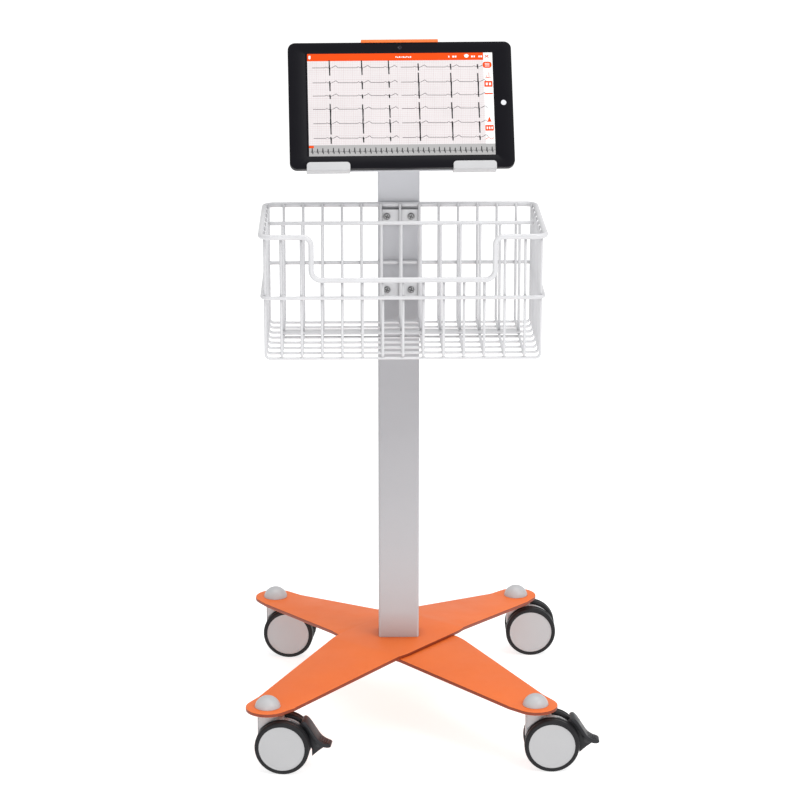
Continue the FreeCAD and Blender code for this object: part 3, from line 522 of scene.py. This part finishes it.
# column
m = Mesh()
cw, cd, wl, z0, z1 = 28.5, 20.0, 2.0, HUBT, 846.0
outer = round_rect(-cw, cw, -cd, cd, 3.5, 8)
inner = round_rect(-cw + wl, cw - wl, -cd + wl, cd - wl, 1.6, 8)


def ring_at(loop, z, d=0.0):
    return [Vector((x - (d if x > 0 else -d), y - (d if y > 0 else -d), z)) for x, y in loop]


zs = [z0 + 0.3] + [z0 + 40 * i for i in range(1, 18)] + [z1 - 0.3]
m.ring_stack([ring_at(outer, z0, 0.3)] + [ring_at(outer, z) for z in zs] + [ring_at(outer, z1, 0.3)]
             + [ring_at(inner, z1)] + [ring_at(inner, z0)], closed=True)
m.make("column_tube", GREY, "root", None, "grey_powder_coat", ["column"], sharp=50)

# caps over the caster stems
m = Mesh()
ro, ho = 17.7, 15.0
R = (ro * ro + ho * ho) / (2 * ho)
prof = [(ro - 1.8, 0.0), (ro - 0.35, 0.0), (ro, 0.3)]
a_end = math.asin(min(1.0, ro / R))
for j in range(0, 25):
    a = a_end * (1 - j / 24.0)
    rr, hh = R * math.sin(a), ho - R + R * math.cos(a)
    if hh > 0.5:
        prof.append((rr if j < 24 else 0.0, hh))
inner_prof = [(0.0, ho - 1.8)] + [((R - 1.8) * math.sin(a_end * 0.96 * j / 10), ho - R + (R - 1.8) * math.cos(a_end * 0.96 * j / 10)) for j in range(1, 11)]
inner_prof = [p for p in inner_prof if p[1] > 0.2]
full = list(reversed(prof)) + list(reversed(inner_prof))
for k in POS:
    m.lathe(full, mv(POS[k][0], POS[k][1], PADT), n=64)
m.make("stem_cap_domes", CAPM, "root", None, "light_grey_plastic", ["stem_caps"], sharp=50)

# ------------------------------------------------------------- wheels
DEPTH = WO - WI
for k in POS:
    for side, sg in (("a", -1), ("b", 1)):
        M = CAST[k] @ mv(TR, sg * WI, RW) @ rot("X", 90 if sg < 0 else -90)
        f = 3.4
        prof = [(HR, 0.3)]
        for cx, cy, aa, ab in ((RW - f, 0.2 + f, -90, 0), (RW - f, DEPTH - f, 0, 90)):
            for j in range(9):
                a = math.radians(aa + (ab - aa) * j / 8)
                prof.append((cx + f * math.cos(a), cy + f * math.sin(a)))
                if aa == -90 and j == 8:
                    # shallow groove round the tread
                    mid = (0.2 + DEPTH) / 2
                    prof += [(RW, mid - 0.7), (RW - 0.35, mid - 0.3), (RW - 0.35, mid + 0.3), (RW, mid + 0.7)]
        # thin lip over the disc's rim
        prof += [(HR + 1.0, DEPTH), (HR - 0.2, DEPTH - 0.02), (HR - 0.75, DEPTH - 0.16), (HR - 0.85, DEPTH - 0.4), (HR - 0.8, DEPTH - 0.55), (HR, DEPTH - 0.57)]
        t = Mesh()
        t.lathe(prof, M, n=96, solid=True)
        t.make("tyre_%s_%s_ring" % (k, side), TYRE, "wheel_%s_%s" % (k, side), None, "black_tyre", ["tyre_%s_%s" % (k, side)], sharp=50)
        h = Mesh()
        out = DEPTH - 0.6
        hp = [(4.05, 0.0), (10.0, 0.0), (12.0, 4.5), (16.0, 7.2), (20.0, 7.2), (24.5, 4.5), (26.5, 0.2), (31.9, 0.0), (HR, 0.5), (HR, out - 0.8), (HR - 0.25, out - 0.25), (HR - 0.8, out),
              (HR - 1.7, out), (HR - 2.3, out - 0.12), (HR - 2.8, out - 0.42), (HR - 3.6, out - 0.5), (24.0, out - 0.36), (16.0, out - 0.22), (8.0, out - 0.14), (0.0, out - 0.12)]
        hp = [(4.05, 12.4), (4.05, 0.0)] + hp[1:]
        h.lathe([(0.0, 12.4)] + hp, M, n=96)
        h.make("disc_%s_%s" % (k, side), PLATE, "wheel_%s_%s" % (k, side), None, "light_grey_plastic", ["hub_%s_%s" % (k, side)], sharp=42)

# pedals: curved tread, tongue and rib
PVX, PVZ = 16.0, 16.0
out_line = [(24.8, 33.2), (27.5, 35.4), (30.8, 35.0), (34.5, 31.4), (38.0, 26.6), (41.5, 21.0), (45.0, 15.5), (48.0, 11.0), (51.5, 7.4), (57.0, 4.2), (62.5, 2.8), (65.2, 1.4), (65.3, -0.6), (63.4, -1.9),
            (59.0, -1.7), (52.0, 0.8), (46.7, 5.2), (43.5, 9.2), (40.5, 13.8), (37.2, 19.0), (34.0, 24.0), (30.5, 27.8), (27.0, 30.4)]
tongue = [(PVX - 5.0, PVZ - 3), (PVX + 2, PVZ - 6), (34.0, 8.0), (38.6, -8.0), (38.8, -17.4), (48.0, -9.0), (58.6, -1.0), (52.0, 3.4), (44.0, 11.6), (28.5, 31.6), (PVX - 2.5, PVZ + 5.0)]
for k in ("fl", "fr"):
    M = CAST[k]
    m = Mesh()

    def put(u, v, w):
        # the tread narrows a little towards its top and its tip
        s = (u - 44.0) / 22.0
        return Vector((TR + u, w * (0.86 - (0.34 if s > 0 else 0.10) * s * s), RW + v))

    def put2(u, v, w):
        return Vector((TR + u, w, RW + v))
    m.slab(spline(out_line, 3), -15.8, 15.8, 1.1, put, 4)
    m.slab(tongue, -3.7, 3.7, 0.5, put2, 2)
    for sg in (-1, 1):
        # side ribs under the tread
        m.slab([(44.0, 7.0), (56.5, 0.6), (49.0, -1.5), (43.8, 1.5)], sg * 10.0 - 0.9, sg * 10.0 + 0.9, 0.3, put2, 2)
    for j in range(4):
        # grip lines across the tread
        u = 51.0 + 3.2 * j
        v = (8.2, 6.0, 4.7, 3.9)[j]
        m.tube([M.inverted() @ (M @ Vector((TR + u, -7.0, RW + v))), Vector((TR + u, 7.0, RW + v))], 0.5, 8)
    m.tube([Vector((TR + PVX, -8.2, RW + PVZ)), Vector((TR + PVX, 8.2, RW + PVZ))], 2.4, 20)
    m.make("pedal_%s_lever" % k, PEDAL, "pedal_" + k, M, "dark_grey_plastic", ["pedal_" + k], sharp=40)

# ------------------------------------------------------------- basket
RX, YB, YF, RZ, RR = 185.3, -24.0, -240.5, 743.0, 3.5
GW, GP, MW, FZ, MZ, DH, DZ = 1.8, 26.5, 2.5, 579.0, 662.0, 119.5, 686.0
off = RR + GW + 0.02
AYB, AYF = YB - off, YF + off
AZ = FZ + 2 * GW - 0.3
AX = [GP * i for i in range(-6, 7)]
BXO = RX - off
BASK = mv(1.5, 0, 0)
B0, B7 = AYB - 2 * GW - 0.05, AYF + 2 * GW + 0.05
BY = [B0 + (B7 - B0) * i / 7.0 for i in range(8)]
MO = MW + GW - 0.3

m = Mesh()
rim = arc_path([(-RX, YB, RZ), (RX, YB, RZ), (RX, YF, RZ), (DH, YF, RZ), (DH, YF, DZ), (-DH, YF, DZ), (-DH, YF, RZ), (-RX, YF, RZ)],
               [15, 15, 15, 11, 13, 13, 11, 15], closed=True, step=6)
m.tube(rim, RR, 20, closed=True)
m.make("basket_rim_tube", WIRE, "root", BASK, "white_powder_coat", ["basket_rim"], sharp=60)

m = Mesh()
for x in AX:
    top = DZ + 1 if abs(x) < DH - 5 else RZ + 1
    m.tube(arc_path([(x, AYB, RZ + 2), (x, AYB, AZ), (x, AYF, AZ), (x, AYF, top)], [4.5, 4.5], step=11), GW, 12)
    # weld beads at the rim and at the middle ring
    m.bead((x, AYB + 1.9, RZ - 1.2), 2.0, 1.3, 2.4)
    m.bead((x, AYF - 1.9, top - 3.2), 2.0, 1.3, 2.4)
    m.bead((x, AYB + 1.9, MZ), 1.9, 1.1, 2.2)
    m.bead((x, AYF - 1.9, MZ), 1.9, 1.1, 2.2)
m.make("basket_wires_across", WIRE, "root", BASK, "white_powder_coat", ["basket_back_grid", "basket_front_grid", "basket_front_corner_grids"], sharp=60)

m = Mesh()
for y in BY:
    m.tube(arc_path([(-BXO, y, RZ + 1), (-BXO, y, FZ), (BXO, y, FZ), (BXO, y, RZ + 1)], [6.0, 6.0], step=11), GW, 12)
    for sg in (-1, 1):
        m.bead((sg * (BXO + 1.9), y, RZ - 1.2), 1.3, 2.0, 2.4)
        m.bead((sg * (BXO + 1.9), y, MZ), 1.1, 1.9, 2.2)
    for x in AX:
        m.bead((x, y, (AZ + FZ) / 2), 1.7, 1.7, 1.2, 8, 5)
m.make("basket_wires_along", WIRE, "root", BASK, "white_powder_coat", ["basket_left_grid", "basket_right_grid", "basket_floor_grid"], sharp=60)

m = Mesh()
rx, rb, rf = BXO + MO, AYB + MO, AYF - MO
m.tube(arc_path([(-rx, rb, MZ), (rx, rb, MZ), (rx, rf, MZ), (-rx, rf, MZ)], [11] * 4, closed=True, step=6), MW, 16, closed=True)
m.make("basket_middle_ring", WIRE, "root", BASK, "white_powder_coat", sharp=60)

m = Mesh()
DY, zt, zs_ = -112.0, RZ - 8.0, AZ + GW + 0.1
m.tube([(-BXO + GW, DY, zt), (BXO - GW, DY, zt)], 2.6, 16)
for x in AX:
    m.tube([(x, DY, zs_ + 1), (x, DY, zt)], GW, 12)
    m.bead((x, DY, zt - 2.4), 2.2, 2.2, 1.8)
    m.bead((x, DY, zs_ + 2.2), 2.4, 2.4, 1.0)
m.slab(round_rect(-162, 162, DY - 12, DY + 12, 3.0, 5), zs_, zs_ + 2.0, 0.6, lambda u, v, w: Vector((u, v, w)), 3)
m.make("basket_divider_panel", WIRE, "root", BASK, "white_powder_coat", ["basket_divider"], sharp=50)

# ------------------------------------------------------------- tablet
SW, SH, TW, TU, TD, BZ = 127.3, 71.7, 151.0, 87.5, 89.0, 1.8


def face(u, v, w):
    return Vector((u, w, v))


m = Mesh()
seg = 10
o_loop = round_rect(-TW, TW, -TD, TU, 10.0, seg)
i_loop = round_rect(-SW - 0.2, SW + 0.2, -SH - 0.2, SH + 0.2, 0.6, seg)


def inset(loop, d, r):
    # same point count, smaller by d
    return round_rect(-TW + d, TW - d, -TD + d, TU - d, max(r - d, 0.5), seg)


rings = [[face(u, v, BZ) for u, v in o_loop]]
for i in range(6):
    q = math.pi / 2 * i / 5
    d, h = 1.0 * (1 - math.cos(q)), 1.0 - 1.0 * math.sin(q)
    rings.append([face(u, v, h) for u, v in inset(o_loop, d, 10.0)])
rings.append([face(u * 1.0015, v * 1.0015, 0.0) for u, v in i_loop])
rings.append([face(u, v, 0.12) for u, v in i_loop])
rings.append([face(u, v, BZ) for u, v in i_loop])
m.ring_stack(rings, closed=True)
m.make("tablet_front_frame", BEZEL, "head", HEAD, "black_glass", ["tablet_bezel"], sharp=50)

# two lips under the tablet: a rounded pad in front and a shelf below
m = Mesh()
for x0, x1 in ((67.8, 126.0), (-128.6, -70.4)):
    pad = round_rect(x0, x1, -TD - 2.9, -TD + 8.5, [4.6, 4.6, 2.0, 2.0], 8)
    m.slab(pad, -3.5, -0.35, 1.1, face, 4)
    shelf = round_rect(x0, x1, -1.2, 14.9, [0.8, 0.8, 0.4, 0.4], 4)
    m.slab(shelf, -TD - 2.9, -TD - 0.5, 0.6, lambda u, v, w: Vector((u, v, w)), 3)
m.make("holder_lip_pads", LIPM, "head", HEAD, "light_grey_plastic", ["holder_lips"], sharp=45)

m = Mesh()
m.lathe([(0, 1.2), (2.6, 1.2), (2.6, -0.02), (2.4, -0.1), (2.05, -0.1), (1.9, 0.0), (1.2, -0.02), (0.0, -0.10)], mv(0, 0, SH + 8) @ rot("X", -90), n=40)
m.make("camera_window", LENS, "head", HEAD, "lens_glass", ["camera_lens"], sharp=40)

m = Mesh()
m.lathe([(0, 0.6), (3.6, 0.6), (3.6, -0.08), (3.35, -0.22), (2.9, -0.22), (2.4, -0.12), (1.2, -0.06), (0.0, -0.05)], mv(138.2, 0, 1.0) @ rot("X", -90), n=48)
m.make("round_indicator", LED, "head", HEAD, "light_grey_plastic", sharp=40)

# screen contents: thin layers in front of the display module
UW = 125.0


def px(x):
    return -UW + 2 * UW * x


def pz(y):
    return SH - 2 * SH * y


def rect(mm, x0, y0, x1, y1, w):
    mm.flat([face(px(x0), pz(y1), w), face(px(x1), pz(y1), w), face(px(x1), pz(y0), w), face(px(x0), pz(y0), w)])


def line(mm, pts, wid, w):
    """Ribbon along points given as shares of the screen."""
    P = [Vector((px(x), pz(y))) for x, y in pts]
    L_, R_ = [], []
    for i, p in enumerate(P):
        a, b = P[max(i - 1, 0)], P[min(i + 1, len(P) - 1)]
        t = (b - a).normalized()
        n = Vector((-t.y, t.x)) * wid / 2
        L_.append(p + n)
        R_.append(p - n)
    base = len(mm.v)
    for p in L_ + R_:
        mm.v.append(face(p.x, p.y, w))
    n = len(P)
    for i in range(n - 1):
        mm.f.append((base + n + i, base + n + i + 1, base + i + 1, base + i))


BAR, SIDE, STRIP = 0.072, 0.951, 0.893
paper, grid, bold, bar, white, trace, strip, tick = (Mesh() for _ in range(8))
rect(paper, 0, 0, 1, 1, 0.16)
for i in range(1, 98):
    x = SIDE * i / 98
    rect(bold if i % 5 == 0 else grid, x - 0.0005, BAR, x + 0.0005, STRIP, 0.135 if i % 5 else 0.13)
for i in range(1, 45):
    y = BAR + (STRIP - BAR) * i / 45
    rect(bold if i % 5 == 0 else grid, 0, y - 0.0009, SIDE, y + 0.0009, 0.14 if i % 5 else 0.125)
rect(bar, 0, 0, SIDE, BAR, 0.11)
rect(white, SIDE, 0, 1, STRIP, 0.11)


def blob(mm, cx, cy, rx, ry, w, n=24):
    mm.flat([face(px(cx) + rx * math.cos(2 * math.pi * j / n), pz(cy) + ry * math.sin(2 * math.pi * j / n), w) for j in range(n)])


def pill(mm, x0, y0, x1, y1, r, w):
    mm.flat([face(u, v, w) for u, v in round_rect(px(x0), px(x1), pz(y1), pz(y0), r, 5)])


# status marks in the bar
pill(white, 0.007, 0.018, 0.018, 0.052, 0.9, 0.09)
for j in range(9):
    pill(white, 0.476 + 0.0098 * j, 0.030 + 0.004 * (j % 2), 0.4825 + 0.0098 * j, 0.045 - 0.003 * (j % 3 == 0), 0.3, 0.09)
for x0, x1 in ((0.762, 0.768), (0.784, 0.794), (0.797, 0.806), (0.886, 0.895), (0.899, 0.906), (0.925, 0.933), (0.936, 0.945)):
    pill(white, x0, 0.029, x1, 0.046, 0.3, 0.09)
blob(white, 0.860, 0.031, 3.0, 2.6, 0.09)
# column of plain signs at the right
plain_px = px


def px(x):
    return plain_px(0.973 + (x - 0.978) * 1.16)


for a, b in (((0.966, 0.024), (0.984, 0.050)), ((0.984, 0.024), (0.966, 0.050))):
    line(bar, [a, b], 1.1, 0.09)
pill(bar, 0.955, 0.090, 0.997, 0.152, 3.6, 0.09)
for j in range(3):
    pill(white, 0.965, 0.105 + 0.013 * j, 0.987, 0.110 + 0.013 * j, 0.3, 0.075)
line(bar, [(0.972, 0.225), (0.972, 0.245), (0.983, 0.245), (0.983, 0.195)], 0.8, 0.09)
line(bar, [(0.962, 0.25), (0.993, 0.25)], 0.7, 0.09)
pill(bar, 0.960, 0.280, 0.998, 0.338, 1.0, 0.09)
for j in range(2):
    pill(white, 0.967 + 0.015 * j, 0.296, 0.976 + 0.015 * j, 0.322, 0.4, 0.075)
pill(bar, 0.960, 0.398, 0.998, 0.410, 0.4, 0.09)
bar.flat([face(px(x), pz(y), 0.09) for x, y in ((0.968, 0.680), (0.988, 0.680), (0.978, 0.630))])
pill(bar, 0.958, 0.712, 0.997, 0.768, 1.0, 0.09)
for j in range(3):
    pill(white, 0.964 + 0.011 * j, 0.728, 0.970 + 0.011 * j, 0.752, 0.3, 0.075)
line(bar, [(0.958, 0.850), (0.972, 0.832), (0.984, 0.850), (0.996, 0.836)], 0.8, 0.09)
px = plain_px
# rhythm strip
rect(strip, 0, STRIP, 1, 1, 0.105)
pill(bar, 0.0, STRIP + 0.004, 0.026, STRIP + 0.028, 0.4, 0.085)
for j in range(35):
    x = 0.014 + 0.0284 * j
    y = STRIP + 0.066
    hgt = (0.034, 0.028, 0.031, 0.025)[j % 4]
    line(tick, [(x - 0.011, y), (x - 0.004, y - 0.003), (x, y)], 0.42, 0.085)
    line(tick, [(x, y + 0.006), (x + 0.003, y - 1.2 * hgt)], 1.1, 0.085)
    line(tick, [(x + 0.003, y - 1.2 * hgt), (x + 0.006, y + 0.020)], 1.2, 0.084)
    line(tick, [(x + 0.006, y + 0.012), (x + 0.010, y), (x + 0.015, y - 0.009), (x + 0.018, y)], 0.42, 0.085)
# traces
rows = [0.137, 0.284, 0.413, 0.543, 0.683, 0.826]
beats = [[0.118, 0.292, 0.437], [0.597, 0.772, 0.918]]
ups = [[(0.062, 0.065), (0.014, 0.070), (0.010, 0.026), (0.045, 0.118), (0.036, 0.090), (0.012, 0.046)],
       [(0.030, 0.030), (0.078, 0.104), (0.034, 0.030), (0.052, 0.092), (0.012, 0.138), (0.012, 0.030)]]
for c in range(2):
    x_start, x_end = ((0.026, 0.470), (0.503, 0.925))[c]
    for r_, y in enumerate(rows):
        u, d = (1.18 * q for q in ups[c][r_])
        line(trace, [(x_start, y), (beats[c][0] - 0.026, y)], 0.62, 0.10)
        for b_i, xb in enumerate(beats[c]):
            k2 = 1.0 - 0.18 * b_i * (1 if (r_ + c) % 2 else 0.3)
            pts = [(xb - 0.026, y), (xb - 0.018, y - 0.008), (xb - 0.011, y), (xb - 0.004, y)]
            line(trace, pts, 0.60, 0.10)
            line(trace, [(xb - 0.004, y), (xb - 0.0015, y + 0.006), (xb, y - u * k2)], 1.0, 0.10)
            line(trace, [(xb, y - u * k2), (xb + 0.0018, y + d * k2)], 1.6, 0.098)
            line(trace, [(xb + 0.0018, y + d * k2), (xb + 0.005, y + 0.002), (xb + 0.016, y - 0.002), (xb + 0.026, y - 0.012), (xb + 0.034, y - 0.020), (xb + 0.042, y - 0.008), (xb + 0.047, y)], 0.62, 0.10)
            nxt = beats[c][b_i + 1] - 0.026 if b_i < 2 else x_end
            if nxt > xb + 0.05:
                line(trace, [(xb + 0.047, y), (nxt, y + 0.002)], 0.56, 0.10)
disp = N["tablet_display"]
for mm, nm, mt in ((paper, "screen_paper", U_PAPER), (grid, "screen_grid", U_GRID), (bold, "screen_grid_bold", U_GRID2), (bar, "screen_bar", U_BAR),
                   (white, "screen_panels", U_WHITE), (trace, "screen_traces", U_TRACE), (strip, "screen_strip", U_STRIP), (tick, "screen_rhythm", U_TICK)):
    mm.make(nm, mt, "head", HEAD, "display", sharp=180, flip=False)

# ------------------------------------------------------------- CAD nodes kept
for names, mat, bev in (
        (["column_foot", "base_bolts", "caster_stems", "stem_nuts", "tilt_shaft"] + ["caster_%s_axle" % k for k in POS], ZINC, 0.2),
        (["caster_%s_housing" % k for k in POS], HOUSE, 0.6),
        (["basket_brackets"], WIRE, 0.4),
        (["basket_screws"], SCREW, 0.2),
        (["swivel_post", "tilt_yoke", "holder_back_plate"], GREY, 0.4),
        (["top_clip"], ORANGE, 0.35),
        (["tablet_rear_cover", "cable_socket", "charge_socket"], SHELL, 0.2),
        (["power_button", "volume_rocker"], SHELL, 0.15),
        (["tablet_display"], BEZEL, 0.0),
        (["battery"], WRAP, 0.4),
        (["main_board"], BOARD, 0.15)):
    for n in names:
        tidy(n, mat, bev)

# ------------------------------------------------------------- floor, light, camera
me = bpy.data.meshes.new("floor")
me.from_pydata([(-40, -30, 0), (40, -30, 0), (40, 50, 0), (-40, 50, 0)], [], [(0, 1, 2, 3)])
me.materials.append(shader("floor_paint", (0.52, 0.52, 0.52), (0.51, 0.51, 0.51), (0.75, 0.85), 2, 300, 0.02, 0.00005, spec=0.1, glow=1.45))
floor = bpy.data.objects.new("floor", me)
scene.collection.objects.link(floor)

world = scene.world or bpy.data.worlds.new("world")
scene.world = world
world.use_nodes = True
bg = world.node_tree.nodes["Background"]
bg.inputs["Color"].default_value = (1, 1, 1, 1)
bg.inputs["Strength"].default_value = 0.66


def area(name, loc, aim, size, power):
    d = bpy.data.lights.new(name, "AREA")
    d.shape = "SQUARE"
    d.size = size
    d.energy = power
    o = bpy.data.objects.new(name, d)
    o.location = loc
    o.rotation_euler = (Vector(aim) - Vector(loc)).to_track_quat("-Z", "Y").to_euler()
    scene.collection.objects.link(o)


area("key", (2.2, -2.0, 3.0), (0, 0, 0.4), 1.8, 46)
area("top", (0.2, 0.2, 3.8), (0, 0, 0), 2.6, 52)
area("front_low", (-0.3, -2.6, 0.60), (0, 0, 0.72), 1.2, 11)

cam = bpy.data.cameras.new("camera")
co = bpy.data.objects.new("camera", cam)
scene.collection.objects.link(co)
scene.camera = co
pitch, yaw = 0.26757, 0.01952
fw = Vector((math.sin(yaw) * math.cos(pitch), math.cos(yaw) * math.cos(pitch), -math.sin(pitch)))
rt = Vector((math.cos(yaw), -math.sin(yaw), 0))
up = rt.cross(fw)
R3 = Matrix((rt, up, -fw)).transposed()
co.matrix_world = Matrix.Translation((-0.07081, -3.72961, 1.48106)) @ R3.to_4x4()
cam.sensor_width = 36.0
cam.lens = 2751.81 / 800.0 * 36.0
cam.clip_start, cam.clip_end = 0.05, 200.0
